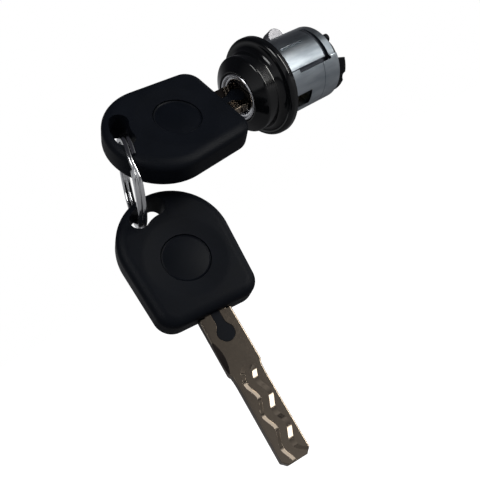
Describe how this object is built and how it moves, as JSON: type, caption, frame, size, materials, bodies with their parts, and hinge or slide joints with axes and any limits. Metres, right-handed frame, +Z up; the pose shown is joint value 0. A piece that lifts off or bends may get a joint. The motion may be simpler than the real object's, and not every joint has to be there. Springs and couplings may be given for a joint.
{
  "type": "ignition lock cylinder with keys",
  "caption": "Car ignition lock cylinder with a black stepped bezel, a slotted die-cast barrel, a turning wafer plug, a key in the keyway and a spare key on a split ring.",
  "frame": {"origin": "centre of the flange's back face, on the lock's axis", "axes": "+Y runs rearwards along the lock's axis, so the keyway faces -Y; +Z is up, through the retaining lug"},
  "size_m": [0.0372, 0.0984, 0.1079],
  "materials": {
    "die_cast_zinc": "satin die-cast, bluish silver",
    "gloss_black": "glossy black moulding",
    "bright_lug": "pale satin metal",
    "spring_wire": "drawn spring steel",
    "plug_brass": "machined",
    "cup_chrome": "bright plating",
    "driver_black": "moulded black",
    "wafer_brass": "stamped",
    "blade_steel": "nickel-plated",
    "head_black": "fine-grained matt moulding",
    "disc_black": "plain matt disc",
    "ring_steel": "polished"
  },
  "bodies": {
    "lock": {"barrel_housing": "die_cast_zinc", "bezel": "gloss_black", "lug_spring": "spring_wire"},
    "lug": {"retaining_lug": "bright_lug"},
    "rotor": {"plug": "plug_brass", "face_cup": "cup_chrome", "retaining_clip": "spring_wire", "driver": "driver_black", "wafer_1": "wafer_brass", "wafer_2": "wafer_brass", "wafer_3": "wafer_brass", "wafer_4": "wafer_brass", "wafer_5": "wafer_brass", "wafer_6": "wafer_brass", "wafer_7": "wafer_brass", "wafer_8": "wafer_brass", "wafer_spring_1": "spring_wire", "wafer_spring_2": "spring_wire", "wafer_spring_3": "spring_wire", "wafer_spring_4": "spring_wire", "wafer_spring_5": "spring_wire", "wafer_spring_6": "spring_wire", "wafer_spring_7": "spring_wire", "wafer_spring_8": "spring_wire"},
    "ignition_key": {"ignition_key_blade": "blade_steel", "ignition_key_head": "head_black", "ignition_key_front_disc": "disc_black", "ignition_key_back_disc": "disc_black"},
    "ring": {"split_ring": "ring_steel"},
    "spare_key": {"spare_key_blade": "blade_steel", "spare_key_head": "head_black", "spare_key_front_disc": "disc_black", "spare_key_back_disc": "disc_black"}
  },
  "joints": [
    {"name": "lug_press", "type": "slide", "parent": "lock", "child": "lug", "axis": [0, 0, -1], "range_m": [0, 0.0018], "stiffness_N_per_m": 600, "springref_m": -0.0006, "deforming": ["lug_spring"]},
    {"name": "plug_turn", "type": "hinge", "parent": "lock", "child": "rotor", "pos_m": [0, 0, 0], "axis": [0, 1, 0], "range_deg": [0, 95]},
    {"name": "key_draw", "type": "slide", "parent": "rotor", "child": "ignition_key", "axis": [0, -1, 0], "range_m": [0, 0.045]},
    {"name": "ring_swing", "type": "hinge", "parent": "ignition_key", "child": "ring", "pos_m": [-0.00239, -0.04998, 0.00413], "axis": [0.949, -0.2865, -0.1315], "range_deg": [-25, 10]},
    {"name": "spare_swing", "type": "hinge", "parent": "ring", "child": "spare_key", "pos_m": [-0.00762, -0.05648, -0.01943], "axis": [0.949, -0.2865, -0.1315], "range_deg": [-30, 12]}
  ]
}
